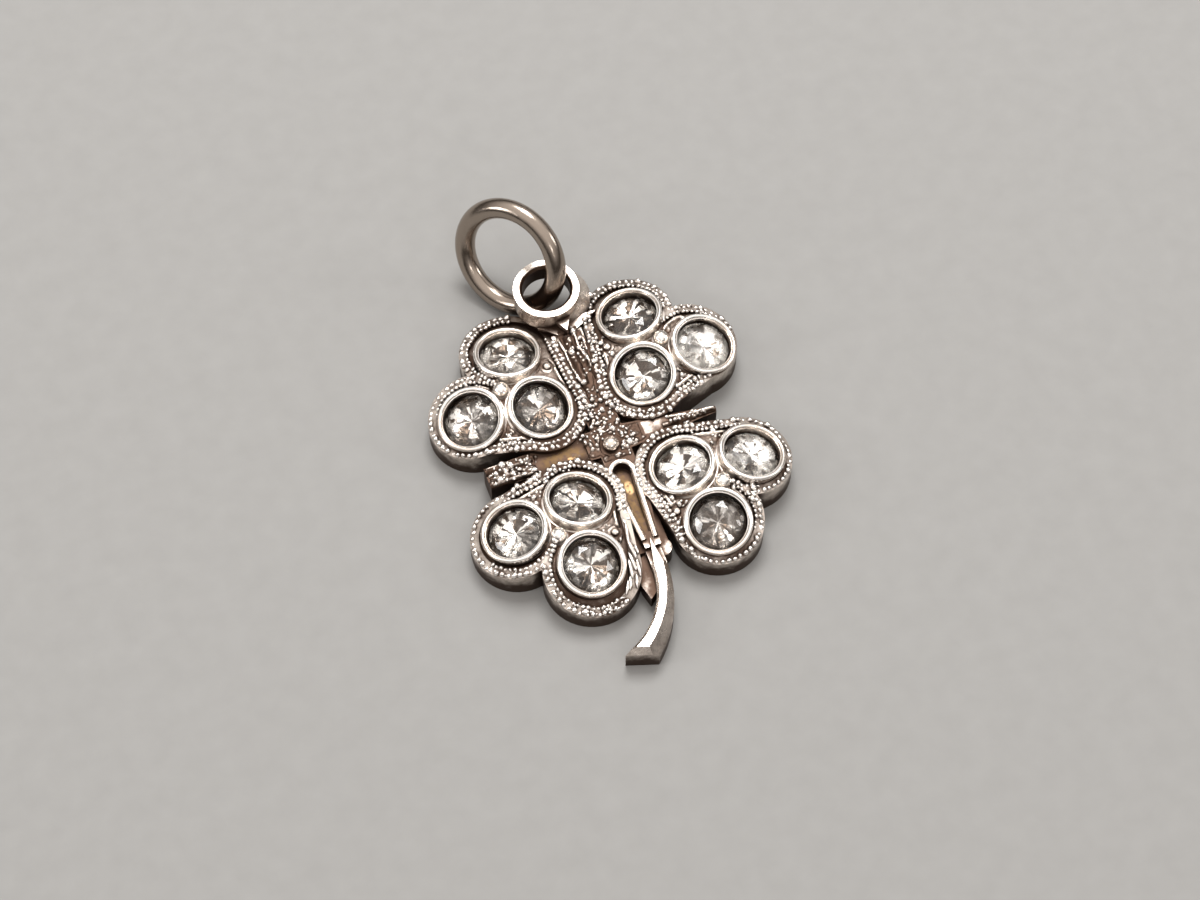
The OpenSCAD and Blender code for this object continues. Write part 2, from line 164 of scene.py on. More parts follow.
def worn_silver(name, bright, tarnish, cleaned, polish, dullness, relief, peaks=None):
    """Silver that is bright where it is rubbed and brown where it is hollow, and its parts by name; faces
    near the table also get painted shade.

    cleaned is the openness from which the tarnish is gone, polish and dullness are the
    roughness of bright and brown metal, and peaks names an attribute that is 1 on peaks.
    """
    finish, tree, shader, place = finish_start(name)
    # The tarnish follows ambient occlusion, which also sees the table, so faces near the table get painted
    # shade as well as the brown tarnish of the hollows.
    hollow = node(tree, "ShaderNodeAmbientOcclusion", {"Distance": HOLLOW_REACH}, samples=8)
    openness = hollow.outputs["AO"]
    if peaks:
        peak = node(tree, "ShaderNodeAttribute", attribute_name=peaks).outputs["Fac"]
        openness = calc(tree, "MULTIPLY", openness, between(tree, peak, PIT_OPEN, PEAK_OPEN))
    coat = node(
        tree, "ShaderNodeGroup",
        {"Place": place, "Openness": openness, "Bright": bright, "Tarnish": tarnish, "Patch": TARNISH_PATCH,
         "Cleaned": cleaned, "Polish": polish, "Dullness": dullness},
        node_tree=tarnish_group,
    )
    skin = node(
        tree, "ShaderNodeGroup", {"Place": place, "Wave": SKIN_WAVE, "Pits": SKIN_PIT}, node_tree=skin_group
    )
    bump = node(tree, "ShaderNodeBump", {"Distance": relief, "Height": skin.outputs["Height"]})
    tree.links.new(coat.outputs["Color"], shader.inputs["Base Color"])
    tree.links.new(coat.outputs["Roughness"], shader.inputs["Roughness"])
    tree.links.new(bump.outputs["Normal"], shader.inputs["Normal"])
    shader.inputs["Metallic"].default_value = 1
    return finish, {"place": place, "openness": openness, "coat": coat, "shader": shader}


def across(tree, value, span):
    """smooth_step over a span of lengths in mm, for a value in metres."""
    return smooth_step(tree, value, span[0] * MM, span[1] * MM)


def reach_from(tree, place, x, y, wide=1.0, tall=1.0):
    """Distance in mm from an upright line at x, y, or its share of an oval of half sizes wide and tall."""
    scaled = node(
        tree, "ShaderNodeVectorMath", {0: place, 1: (1 / wide / MM, 1 / tall / MM, 0)}, operation="MULTIPLY"
    ).outputs[0]
    return node(
        tree, "ShaderNodeVectorMath", {0: scaled, 1: (x / wide, y / tall, 0)}, operation="DISTANCE"
    ).outputs["Value"]


def near_ring(tree, place, x, y, ring, span):
    """1 on a ring round an upright line at x, y, and 0 off it, by a span of distances in mm."""
    off_ring = calc(tree, "ABSOLUTE", calc(tree, "SUBTRACT", reach_from(tree, place, x, y), ring))
    return smooth_step(tree, off_ring, *span)


def dress(solid, finish):
    """Gives a solid its only finish."""
    solid.data.materials.clear()
    solid.data.materials.append(finish)


# Places on the casting, in mm: a cup's or ball's x, y and radius, or the middle
# and the half sizes of an oval or a flat.
CUPS = {"in": (2.53, 2.53), "long": (3.07, 5.88), "side": (5.88, 3.07)}
RIM_MID = 1.475
BALLS = [(4.03, 4.03, 0.38), (1.52, 4.63, 0.21)]
MIDDLE_BALL = (-0.1, -0.27)
EYE_AT = Vector((-0.27, 8.165))
DISH = (-2.4, -0.05, 1.25, 0.6)
CHANNEL = (-0.1, -3.2, 0.42, 2.0)
GLINTS = [(-2.1, -0.25, 0.3, 0.16), (0.0, -2.45, 0.24, 0.42)]
BARE_FLAT = (2.2, 0.06, 0.62, 0.36)
setting_silver, parts = worn_silver(
    "setting_silver", BRIGHT_SILVER, BROWN_TARNISH, cleaned=0.76, polish=0.15, dullness=0.42, relief=0.02 * MM
)
tree, place = setting_silver.node_tree, parts["place"]
x_at, y_at, z_at = node(tree, "ShaderNodeSeparateXYZ", {0: place}).outputs
folded = node(tree, "ShaderNodeVectorMath", {0: place}, operation="ABSOLUTE").outputs[0]
from_x, from_y = node(tree, "ShaderNodeSeparateXYZ", {0: folded}).outputs[:2]

# Tarnish stays on the spine and the left arm, the bore is made darker, and
# painted shade darkens the foot of the walls.
off_spine = greatest(tree, [
    across(tree, calc(tree, "MINIMUM", from_x, from_y), (0.6, 1.3)),
    across(tree, z_at, (1.72, 1.85)),
    across(tree, from_y, (5.2, 5.9)),
])
off_left_arm = greatest(tree, [across(tree, x_at, (-3.9, -3.1)), across(tree, from_y, (0.7, 1.0))])
# Painted shade: the walls are darker towards their foot.
above_wall = across(tree, z_at, (0.2, 1.5))
off_bore = smooth_step(tree, reach_from(tree, place, *EYE_AT), 1.17, 1.34)
openness = product(tree, [
    parts["openness"],
    between(tree, off_spine, 0.6, 1.0),
    between(tree, off_left_arm, 0.6, 1.0),
    between(tree, above_wall, 0.5, 0.9),
    between(tree, off_bore, 0.1, 0.9),
])

# A cloth wiped the rims and balls, the wells, the arch, the bare flat and the middle ball.
on_rims = greatest(
    tree,
    [near_ring(tree, folded, *cup, RIM_MID, (0.28, 0.18)) for cup in CUPS.values()]
    + [near_ring(tree, folded, x, y, 0, (r * 1.25, r * 0.7)) for x, y, r in BALLS],
)
on_rims = calc(tree, "MULTIPLY", on_rims, across(tree, z_at, (1.75, 1.95)))
in_wells = greatest(
    tree, [smooth_step(tree, reach_from(tree, folded, *cup), 1.42, 1.3) for cup in CUPS.values()]
)
on_arch = product(tree, [
    across(tree, z_at, (1.54, 1.61)), across(tree, y_at, (-1.0, -1.2)), across(tree, from_x, (0.95, 0.8))
])
off_flat = greatest(tree, [
    calc(tree, "DIVIDE", calc(tree, "ABSOLUTE", calc(tree, "SUBTRACT", at, middle * MM)), half * MM)
    for at, middle, half in zip((x_at, y_at), BARE_FLAT[:2], BARE_FLAT[2:])
])
on_flat = smooth_step(tree, off_flat, 1.0, 0.9)
on_ball = product(tree, [
    smooth_step(tree, reach_from(tree, place, *MIDDLE_BALL), 0.42, 0.34), across(tree, z_at, (1.65, 1.75))
])
for wiped, gain in ((on_rims, 0.8), (in_wells, 0.35), (on_arch, 0.7), (on_flat, 0.15), (on_ball, 0.7)):
    openness = calc(tree, "MULTIPLY_ADD", wiped, gain, openness)
tree.links.new(openness, parts["coat"].inputs["Openness"])

# The rims and ball tops are lifted to near-white silver: a painted highlight.
# Old lacquer, with a golden glint in it, stains the dish and the channel.
color = blend(tree, on_rims, parts["coat"].outputs["Color"], POLISHED_SILVER)
below_edges = across(tree, z_at, (1.62, 1.5))
mottled = smooth_step(tree, noise(tree, place, 0.22 * MM, 4.0), 0.36, 0.56)
for tint, ovals in ((OLD_LACQUER, (DISH, CHANNEL)), (GOLDEN_GLINT, GLINTS)):
    stained = greatest(tree, [smooth_step(tree, reach_from(tree, place, *oval), 1.05, 0.6) for oval in ovals])
    color = blend(tree, product(tree, [stained, mottled, below_edges]), color, tint)
tree.links.new(color, parts["shader"].inputs["Base Color"])
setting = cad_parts["clover_setting"]
dress(setting, setting_silver)

# Beaded edges: a row of small grains was rolled into each leaf's raised border,
# with a finer row inside it where a cup leaves room.
CUP_OUT = 1.6
LOBE_R = 2.2
LEAF_MID = sum(x for x, y in CUPS.values()) / 3
SIDE_SHARE = 0.97
LEAVES = {
    "ul": (-1, 1, (0.09, -0.05, 1.07), (-0.10, 0.12, 0.97)),
    "ur": (1, 1, (0.12, -0.01, 1.00), (-0.20, 0.20, 0.97)),
    "ll": (-1, -1, (-0.01, 0.01, 1.04), (-0.06, 0.03, 0.99)),
    "lr": (1, -1, (-0.14, 0.05, 0.98), (-0.10, -0.02, 0.96)),
}
ABOVE_ALL = 9
EDGE_STEPS = 360
EDGE_NEAREST, EDGE_FARTHEST, EDGE_EXACT = 0.6, 6.5, 0.002
casting = BVHTree.FromPolygons(
    [corner.co for corner in setting.data.vertices], [face.vertices for face in setting.data.polygons]
)


def on_casting(x, y):
    """The casting's top surface at a place in mm, as a point in metres, or None."""
    return casting.ray_cast(Vector((x * MM, y * MM, ABOVE_ALL * MM)), Vector((0, 0, -1)))[0]


def right_of(a, b):
    """Unit vector to the right of the way from a to b."""
    way = (b - a).normalized()
    return Vector((way.y, -way.x))


def edge_gap(leaf, x, y):
    """How far a point of a leaf's own quarter is outside its edge, in mm."""
    near, upright, level = (Vector(p) for p in (CUPS["in"], CUPS["long"], CUPS["side"]))
    tall, wide = leaf[2], leaf[3]
    upright = upright + LOBE_R * Vector((tall[1], tall[0]))
    level = level + LOBE_R * Vector((wide[0], wide[1]))
    radii = LOBE_R, tall[2] * LOBE_R, wide[2] * LOBE_R
    level_side = SIDE_SHARE * right_of(near, level)
    upright_side = SIDE_SHARE * right_of(upright, near)
    corners = [
        near + level_side * radii[0], level + level_side * radii[2], level,
        upright, upright + upright_side * radii[1], near + upright_side * radii[0],
    ]
    point = Vector((x, y))
    web = max(right_of(a, b).dot(point - a) for a, b in zip(corners, corners[1:] + corners[:1]))
    lobes = ((point - middle).length - radius for middle, radius in zip((near, upright, level), radii))
    return min(web, *lobes)


def edge_path(leaf, inset):
    """Points round a leaf at an inset from its edge, in mm, in the part's frame."""
    path = []
    for step in range(EDGE_STEPS):
        angle = step * 2 * math.pi / EDGE_STEPS
        way = Vector((math.cos(angle), math.sin(angle)))
        near, far = EDGE_NEAREST, EDGE_FARTHEST
        while far - near > EDGE_EXACT:
            reach = (near + far) / 2
            point = Vector((LEAF_MID, LEAF_MID)) + way * reach
            if edge_gap(leaf, *point) < -inset:
                near = reach
            else:
                far = reach
        path.append(((LEAF_MID + way.x * near) * leaf[0], (LEAF_MID + way.y * near) * leaf[1]))
    return path


def cup_gap(x, y):
    """Distance from a place to the outside of the nearest cup, in mm."""
    return min(math.hypot(abs(x) - cx, abs(y) - cy) for cx, cy in CUPS.values()) - CUP_OUT


def off_line(point, line):
    """Distance from a point to a line of points, in mm."""
    least = math.inf
    for a, b in zip(line, line[1:]):
        way = Vector(b) - Vector(a)
        share = max(0.0, min(1.0, (point - Vector(a)).dot(way) / way.length_squared))
        least = min(least, (Vector(a) + way * share - point).length)
    return least


# Widths and ends of the feathered strokes, which the grains leave room for.
FEATHERS = [
    (0.12, [(-0.98, -3.84), (-0.92, -4.45)]), (0.15, [(-0.92, -4.40), (-1.13, -5.40)]),
    (0.22, [(-1.12, -5.25), (-1.02, -6.15)]), (0.24, [(-1.26, -5.65), (-1.22, -6.65)]),
    (0.26, [(-1.36, -5.95), (-1.52, -6.95)]), (0.22, [(-1.50, -6.60), (-1.80, -7.40)]),
    (0.18, [(-1.66, -6.80), (-2.05, -7.55)]), (0.18, [(-1.02, -6.15), (-1.12, -6.95)]),
    (0.17, [(-1.28, -6.80), (-1.45, -7.40)]), (0.16, [(-0.88, -5.50), (-0.86, -5.95)]),
]


def feather_gap(x, y):
    """Distance from a place to the nearest feathered stroke, in mm."""
    return min(off_line(Vector((x, y)), line) - width / 2 for width, line in FEATHERS)


def plain_mesh(name, form):
    """Makes a mesh of a form."""
    mesh = bpy.data.meshes.new(name)
    form.to_mesh(mesh)
    form.free()
    return mesh


def in_scene(name, data):
    """Puts a new object in the scene."""
    thing = bpy.data.objects.new(name, data)
    scene.collection.objects.link(thing)
    return thing


def on_setting(piece):
    """Fixes a finished piece to the setting."""
    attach(piece, "root")


def path_mesh(name, runs):
    """Edge mesh through runs of points in metres."""
    form = bmesh.new()
    for run, closed in runs:
        points = [form.verts.new(p) for p in run]
        for a, b in zip(points, points[1:] + points[:1] if closed else points[1:]):
            form.edges.new((a, b))
    return plain_mesh(name, form)


def geometry_tree(name, inputs):
    """Starts a Geometry Nodes tree with named inputs, and gives its tree and inputs."""
    tree = bpy.data.node_groups.new(name, "GeometryNodeTree")
    tree.interface.new_socket("Geometry", in_out="INPUT", socket_type="NodeSocketGeometry")
    for label, example in inputs.items():
        kind = SOCKETS[type(example)] if example is not None else "NodeSocketMaterial"
        tree.interface.new_socket(label, in_out="INPUT", socket_type=kind)
    tree.interface.new_socket("Geometry", in_out="OUTPUT", socket_type="NodeSocketGeometry")
    return tree, tree.nodes.new("NodeGroupInput").outputs


def tree_end(tree, geometry, metal):
    """Ends a tree in Realize Instances, smooth shading and Set Material."""
    real = node(tree, "GeometryNodeRealizeInstances", {"Geometry": geometry})
    smooth = node(tree, "GeometryNodeSetShadeSmooth", {"Geometry": real.outputs["Geometry"]})
    dressed = node(
        tree, "GeometryNodeSetMaterial", {"Geometry": smooth.outputs["Geometry"], "Material": metal}
    )
    node(tree, "NodeGroupOutput", {"Geometry": dressed.outputs["Geometry"]})


def random_vector(tree, least, most, seed):
    """A random vector on each point, with each part between least and most."""
    return node(
        tree, "FunctionNodeRandomValue", {0: least, 1: most, "Seed": seed}, data_type="FLOAT_VECTOR"
    ).outputs[0]


def grain_on(tree, points, ins):
    """Puts a grain of uneven size on each point."""
    half = calc(tree, "MULTIPLY", ins["Grain size"], 0.5)
    grain = node(tree, "GeometryNodeMeshUVSphere", {"Segments": 8, "Rings": 6, "Radius": half})
    least, most = (calc(tree, way, 1.0, ins["Size spread"]) for way in ("SUBTRACT", "ADD"))
    size = random_vector(tree, least, most, ins["Seed"])
    turn = random_vector(tree, (-0.5,) * 3, (0.5,) * 3, ins["Seed"])
    return node(
        tree, "GeometryNodeInstanceOnPoints",
        {"Points": points, "Instance": grain.outputs["Mesh"], "Scale": size, "Rotation": turn},
    ).outputs["Instances"]


def wander(tree, points, ins):
    """Moves each point a little at random."""
    back = calc(tree, "MULTIPLY", ins["Wander"], -1.0)
    step = random_vector(tree, back, ins["Wander"], ins["Seed"])
    return node(tree, "GeometryNodeSetPosition", {"Geometry": points, "Offset": step}).outputs["Geometry"]


def grow(name, source, tree, values):
    """Runs a tree on a source mesh, keeps the plain mesh it makes, and fixes it to the setting."""
    piece = in_scene(name, source)
    modifier = piece.modifiers.new(name, "NODES")
    modifier.node_group = tree
    for item in tree.interface.items_tree:
        if item.item_type == "SOCKET" and item.in_out == "INPUT" and item.name in values:
            modifier[item.identifier] = values[item.name]
    graph = bpy.context.evaluated_depsgraph_get()
    made = bpy.data.meshes.new_from_object(piece.evaluated_get(graph), depsgraph=graph)
    piece.modifiers.remove(modifier)
    piece.data = made
    on_setting(piece)


row_tree, ins = geometry_tree(
    "Grain row",
    {"Pitch": 0.0, "Grain size": 0.0, "Size spread": 0.0, "Wander": 0.0, "Seed": 0, "Metal": None},
)
line = node(row_tree, "GeometryNodeMeshToCurve", {"Mesh": ins["Geometry"]})
marks = node(
    row_tree, "GeometryNodeCurveToPoints",
    {"Curve": line.outputs["Curve"], "Length": ins["Pitch"]}, mode="LENGTH",
)
moved = wander(row_tree, marks.outputs["Points"], ins)
tree_end(row_tree, grain_on(row_tree, moved, ins), ins["Metal"])

EYE_ROOM = 2.05
FEATHER_ROOM = 0.12
SHORTEST_RUN = 5


def laid_runs(path, room, sink):
    """The runs of a closed path that keep clear of the cups, the eye and the strokes, laid on the casting."""
    keep = [
        cup_gap(x, y) > room
        and (Vector((x, y)) - EYE_AT).length > EYE_ROOM
        and feather_gap(x, y) > FEATHER_ROOM
        for x, y in path
    ]
    start = keep.index(False) if False in keep else 0
    runs = [[]]
    for i in range(len(path)):
        here = (start + i) % len(path)
        if keep[here]:
            runs[-1].append(on_casting(*path[here]) - Vector((0, 0, sink * MM)))
        elif runs[-1]:
            runs.append([])
    return [(run, all(keep)) for run in runs if len(run) >= SHORTEST_RUN]


GRAIN_BRIGHT = (0.95, 0.90, 0.85, 1)
EDGE_INSET, EDGE_SINK = 0.15, 0.05
FINE_INSET, FINE_SINK, FINE_ROOM = 0.4, 0.04, 0.1
grain_silver, parts = worn_silver(
    "grain_silver", GRAIN_BRIGHT, BROWN_TARNISH, cleaned=0.48, polish=0.14, dullness=0.40, relief=0.012 * MM
)
for seed, (name, leaf) in enumerate(LEAVES.items()):
    outer = laid_runs(edge_path(leaf, EDGE_INSET), 0, EDGE_SINK)
    grow(
        f"beaded_edge_{name}", path_mesh(name, outer), row_tree,
        {"Pitch": 0.28 * MM, "Grain size": 0.29 * MM, "Size spread": 0.35, "Wander": 0.04 * MM, "Seed": seed,
         "Metal": grain_silver},
    )
    inner = laid_runs(edge_path(leaf, FINE_INSET), FINE_ROOM, FINE_SINK)
    if inner:
        grow(
            f"fine_beading_{name}", path_mesh(name, inner), row_tree,
            {"Pitch": 0.23 * MM, "Grain size": 0.22 * MM, "Size spread": 0.3, "Wander": 0.03 * MM,
             "Seed": seed + 10, "Metal": grain_silver},
        )

# Feathered strokes: long silver drops lie side by side on the lower left leaf's
# border beside the stem, where they take the place of the grains.
STROKE_LIFT = 0.04 * MM
STROKE_SIDES = 12
form = bmesh.new()
for width, (start, end) in FEATHERS:
    start, end = (on_casting(*point) + Vector((0, 0, STROKE_LIFT)) for point in (start, end))
    turn = (end - start).to_track_quat("Z", "Y").to_matrix().to_4x4()
    size = Matrix.Diagonal((width / 2 * MM, width / 2 * MM, (end - start).length / 2, 1))
    bmesh.ops.create_uvsphere(
        form, u_segments=STROKE_SIDES, v_segments=STROKE_SIDES, radius=1,
        matrix=Matrix.Translation((start + end) / 2) @ turn @ size,
    )
for face in form.faces:
    face.smooth = True
mesh = plain_mesh("feathered_strokes", form)
mesh.materials.append(grain_silver)
on_setting(in_scene("feathered_strokes", mesh))

# Cast relief: the wax was worked with a hot needle, so that the fields beside
# the cups and the spine are lumpy, with thin ridges, and brown in the pits.
RELIEF_STEP, RELIEF_REACH = 0.05, 8.2
RELIEF_ROOT = 0.16
BORDER_W, CUP_ROOM, BALL_ROOM, RELIEF_FADE = 0.34, 0.02, 0.03, 0.1
LEAF_HEIGHTS, LEAF_STEEPEST = (1.55, 2.45), 0.09
SPINE_HEIGHTS, SPINE_STEEPEST = (1.3, 1.75), 0.2
SPINE_HALF, SPINE_REACH = 1.1, 6.4
RAIL_AT, RAIL_W = 0.66, 0.1
LEAST_LUMPS = 0.3
ARCH_HALF, ARCH_LOW = 0.8, -1.15
WORN_RIBS_X, WORN_SHARE = -3.3, 0.5
SMOOTH_BALL_R = 0.44
GRAIN_CUP_ROOM, GRAIN_ROOM = 0.04, 0.05
# Patches of graining: x, y, reach and share.
GRAINED_PATCHES = [
    (0.0, 1.3, 1.9, 1.0), (0.4, -0.2, 1.2, 1.0), (0.0, 3.2, 0.9, 0.4), (-0.9, 0.5, 1.0, 1.0),
    (-4.8, 0.0, 1.6, 0.9), (3.6, -0.1, 1.3, 0.8), (0.3, 5.4, 0.9, 0.9),
    (0.9, 4.9, 1.2, 1.0), (0.6, 3.9, 0.7, 0.7), (4.6, 1.3, 1.5, 1.0),
    (2.6, 0.9, 1.2, 0.7), (-4.9, 1.3, 1.2, 0.9), (-3.0, 0.8, 0.9, 0.5),
    (-3.2, -0.9, 1.8, 0.9), (-2.0, -4.3, 0.6, 0.4), (-4.6, -1.5, 1.0, 0.8),
    (-3.1, -7.6, 1.7, 0.9), (-6.6, -5.0, 0.9, 0.3), (1.4, -4.6, 1.3, 1.0),
    (1.9, -6.4, 1.4, 1.0), (4.8, -4.9, 0.9, 0.7), (1.0, -2.6, 0.8, 0.8),
    (4.3, -1.2, 1.1, 0.6), (-4.9, 4.9, 0.7, 0.8), (5.6, 4.9, 1.0, 0.4),
]
# Ridges: half width and points.
RIDGES = [
    (0.11, [(-1.62, 6.6), (-1.25, 5.7), (-0.92, 4.9), (-0.72, 4.1)]),
    (0.09, [(-0.62, 6.2), (-0.42, 5.2), (-0.45, 4.3), (-0.3, 3.3)]),
    (0.07, [(0.35, 6.1), (0.28, 5.2), (0.45, 4.4), (0.72, 3.1)]),
    (0.07, [(0.62, 5.6), (0.66, 4.8), (0.78, 4.2)]),
    (0.08, [(-6.0, 0.12), (-4.6, 0.22), (-3.5, 0.18)]),
    (0.07, [(-6.0, -0.14), (-4.7, -0.06), (-3.6, -0.1)]),
    (0.07, [(-6.0, 0.48), (-4.7, 0.55), (-3.6, 0.62)]),
    (0.07, [(-5.9, -0.42), (-4.8, -0.4), (-3.7, -0.5)]),
    (0.08, [(1.7, 0.32), (2.9, 0.18), (4.2, -0.06), (5.1, -0.14)]),
    (0.08, [(1.0, -0.62), (1.5, -0.72), (1.9, -0.62)]),
    (0.07, [(-0.95, -2.7), (-0.78, -3.6), (-0.6, -4.6)]),
    (0.07, [(0.75, -2.9), (0.62, -3.8), (0.5, -4.7)]),
    (0.07, [(-1.35, -5.2), (-1.7, -5.7), (-1.75, -6.3)]),
    (0.07, [(-1.4, -5.8), (-1.85, -6.3), (-1.95, -6.9)]),
    (0.07, [(-1.5, -6.4), (-1.95, -6.9), (-2.1, -7.5)]),
    (0.09, [(-6.6, -4.6), (-6.2, -4.95), (-5.6, -5.2), (-5.0, -5.25)]),
]


def ball_gap(x, y):
    """Distance from a place to the nearest ball of the casting, in mm."""
    return min(math.hypot(abs(x) - ball_x, abs(y) - ball_y) - r for ball_x, ball_y, r in BALLS)


def is_smooth(x, y):
    """Whether a place is in the dish, on the bare flat or the middle ball, or in the lower gap."""
    in_dish = math.hypot((x - DISH[0]) / DISH[2], (y - DISH[1]) / DISH[3]) < 1
    on_flat = abs(x - BARE_FLAT[0]) < BARE_FLAT[2] and abs(y - BARE_FLAT[1]) < BARE_FLAT[3]
    on_ball = math.hypot(x - MIDDLE_BALL[0], y - MIDDLE_BALL[1]) < SMOOTH_BALL_R
    return in_dish or on_flat or on_ball or (abs(x) < ARCH_HALF and y < ARCH_LOW)


def graining(x, y):
    """Share of grains at a place: 0 for none, 1 for the thickest graining."""
    too_near = cup_gap(x, y) < GRAIN_CUP_ROOM or min(ball_gap(x, y), feather_gap(x, y)) < GRAIN_ROOM
    if too_near or is_smooth(x, y):
        return 0
    return max(
        [share * min(1, 2 * (1 - math.hypot(x - px, y - py) / reach))
         for px, py, reach, share in GRAINED_PATCHES if math.hypot(x - px, y - py) < reach] or [0]
    )


def relief_at(x, y, leaf):
    """Strength of the lumps and the ridges at a place in mm, and how clear it is of an edge, or None."""
    quarter = next(q for q in LEAVES.values() if q[:2] == (math.copysign(1, x), math.copysign(1, y)))
    inside = -edge_gap(quarter, abs(x), abs(y))
    if leaf:
        room = min(inside - BORDER_W, cup_gap(x, y) - CUP_ROOM, ball_gap(x, y) - BALL_ROOM)
        clear = room / RELIEF_FADE if quarter is leaf else 0
    else:
        on_arms = min(abs(x), abs(y)) < SPINE_HALF and max(abs(x), abs(y)) < SPINE_REACH
        clear = 1 if inside < 0 and on_arms and not is_smooth(x, y) else 0
    if clear <= 0:
        return None
    point = Vector((x, y))
    ridge = max(max(0.0, 1 - (off_line(point, line) / width) ** 2) for width, line in RIDGES)
    if x < WORN_RIBS_X:
        ridge *= WORN_SHARE
    if leaf and cup_gap(x, y) > RAIL_W:
        ridge = max(ridge, 1 - ((inside - RAIL_AT) / RAIL_W) ** 2)
    return [max(LEAST_LUMPS, graining(x, y)), ridge, min(1.0, clear)]


def relief_mesh(name, leaf):
    """A closed thin patch on a leaf's field, or on the spine, with relief_at's values as attributes."""
    low_z, high_z = LEAF_HEIGHTS if leaf else SPINE_HEIGHTS
    steepest = LEAF_STEEPEST if leaf else SPINE_STEEPEST
    spots, found = {}, {}
    count = int(RELIEF_REACH / RELIEF_STEP)
    for i in range(-count, count + 1):
        for j in range(-count, count + 1):
            x, y = i * RELIEF_STEP, j * RELIEF_STEP
            values = relief_at(x, y, leaf)
            spot = on_casting(x, y) if values else None
            if spot and low_z * MM < spot.z < high_z * MM:
                spots[i, j], found[i, j] = spot, values
    cells = []
    for i, j in spots:
        ring = ((i, j), (i + 1, j), (i + 1, j + 1), (i, j + 1))
        heights = [spots[k].z for k in ring if k in spots]
        if len(heights) == 4 and max(heights) - min(heights) < steepest * MM:
            cells.append(ring)
    ways = {(a, b) for ring in cells for a, b in zip(ring, ring[1:] + ring[:1])}
    rim = [(a, b) for a, b in ways if (b, a) not in ways]
    for i, j in {a for a, b in rim}:
        for k in ((i + 1, j), (i - 1, j), (i, j + 1), (i, j - 1)):
            if k in found:
                found[k][2] = min(found[k][2], 0.5)
    for a, b in rim:
        found[a][2] = 0.0
    form = bmesh.new()
    layers = [form.verts.layers.float.new(label) for label in ("lumps", "ridge", "clear", "face_up")]
    top, low = {}, {}
    for k in {k for ring in cells for k in ring}:
        top[k] = form.verts.new(spots[k])
        low[k] = form.verts.new(spots[k] - Vector((0, 0, RELIEF_ROOT * MM)))
        for layer, value in zip(layers, found[k] + [1.0]):
            top[k][layer] = value
    for ring in cells:
        form.faces.new([top[k] for k in ring])
        form.faces.new([low[k] for k in reversed(ring)])
    for a, b in rim:
        form.faces.new((top[b], top[a], low[a], low[b]))
    return plain_mesh(name, form)


def named_value(tree, name):
    """A value that the source mesh holds on each point."""
    held = node(tree, "GeometryNodeInputNamedAttribute", {"Name": name}, data_type="FLOAT")
    return held.outputs["Attribute"]


# The tree lifts the patch's top by its ridges, lumps and grit, and sinks its rim into the casting.
relief_tree, ins = geometry_tree(
    "Cast relief",
    {"Base": 0.0, "Ridge height": 0.0, "Lump size": 0.0, "Lump height": 0.0, "Grit size": 0.0,
     "Grit height": 0.0, "Sink": 0.0, "Seed": 0, "Metal": None},
)
lumps, ridge, clear, face_up = (
    named_value(relief_tree, name) for name in ("lumps", "ridge", "clear", "face_up")
)
cells = node(
    relief_tree, "ShaderNodeTexVoronoi",
    {"W": ins["Seed"], "Scale": calc(relief_tree, "DIVIDE", 1.0, ins["Lump size"])}, voronoi_dimensions="4D",
)
swell = node(
    relief_tree, "ShaderNodeMapRange",
    {"Value": cells.outputs["Distance"], "From Min": 0.15, "From Max": 0.62, "To Min": 1.0, "To Max": 0.0},
    interpolation_type="SMOOTHSTEP",
).outputs[0]
swell = product(relief_tree, [swell, lumps, calc(relief_tree, "SUBTRACT", 1.0, ridge)])
grit = node(
    relief_tree, "ShaderNodeTexNoise",
    {"Scale": calc(relief_tree, "DIVIDE", 1.0, ins["Grit size"]), "Detail": 2.0},
).outputs["Fac"]
rise = calc(relief_tree, "MULTIPLY_ADD", ridge, ins["Ridge height"], ins["Base"])
rise = calc(relief_tree, "MULTIPLY_ADD", swell, ins["Lump height"], rise)
rise = calc(relief_tree, "MULTIPLY_ADD", calc(relief_tree, "SUBTRACT", grit, 0.5), ins["Grit height"], rise)
above_sink = calc(relief_tree, "ADD", rise, ins["Sink"])
sunk = calc(relief_tree, "MULTIPLY", ins["Sink"], -1.0)
rise = calc(relief_tree, "MULTIPLY_ADD", clear, above_sink, sunk)
rise = calc(relief_tree, "MULTIPLY", rise, face_up)
marked = node(
    relief_tree, "GeometryNodeStoreNamedAttribute",
    {"Geometry": ins["Geometry"], "Name": "peak", "Value": calc(relief_tree, "MAXIMUM", swell, ridge)},
    data_type="FLOAT", domain="POINT",
)
lifted = node(
    relief_tree, "GeometryNodeSetPosition",
    {"Geometry": marked.outputs["Geometry"],
     "Offset": node(relief_tree, "ShaderNodeCombineXYZ", {"Z": rise}).outputs[0]},
)
tree_end(relief_tree, lifted.outputs["Geometry"], ins["Metal"])
relief_silver, spine_silver = (
    worn_silver(
        name, BRIGHT_SILVER, BROWN_TARNISH, cleaned, polish=0.15, dullness=0.42, relief=0.006 * MM,
        peaks="peak",
    )[0]
    for name, cleaned in (("relief_silver", 0.42), ("spine_silver", 0.66))
)
for seed, (name, leaf) in enumerate([*LEAVES.items(), ("spine", None)]):
    grow(
        f"cast_relief_{name}", relief_mesh(name, leaf), relief_tree,
        {"Base": 0.03 * MM, "Ridge height": 0.15 * MM, "Lump size": 0.25 * MM, "Lump height": 0.16 * MM,
         "Grit size": 0.09 * MM, "Grit height": 0.09 * MM, "Sink": 0.05 * MM, "Seed": seed,
         "Metal": relief_silver if leaf else spine_silver},
    )

# Granulation: small grains of uneven size stand in the fields beside the cups
# and over the middle of the clover. They were cast with the setting, and only
# their tops are bright.
FIELD_STEP, FIELD_REACH, FIELD_STEEPEST = 0.11, 8.4, 0.12
GRAIN_LIFT = 0.05
THICKEST = 1.2


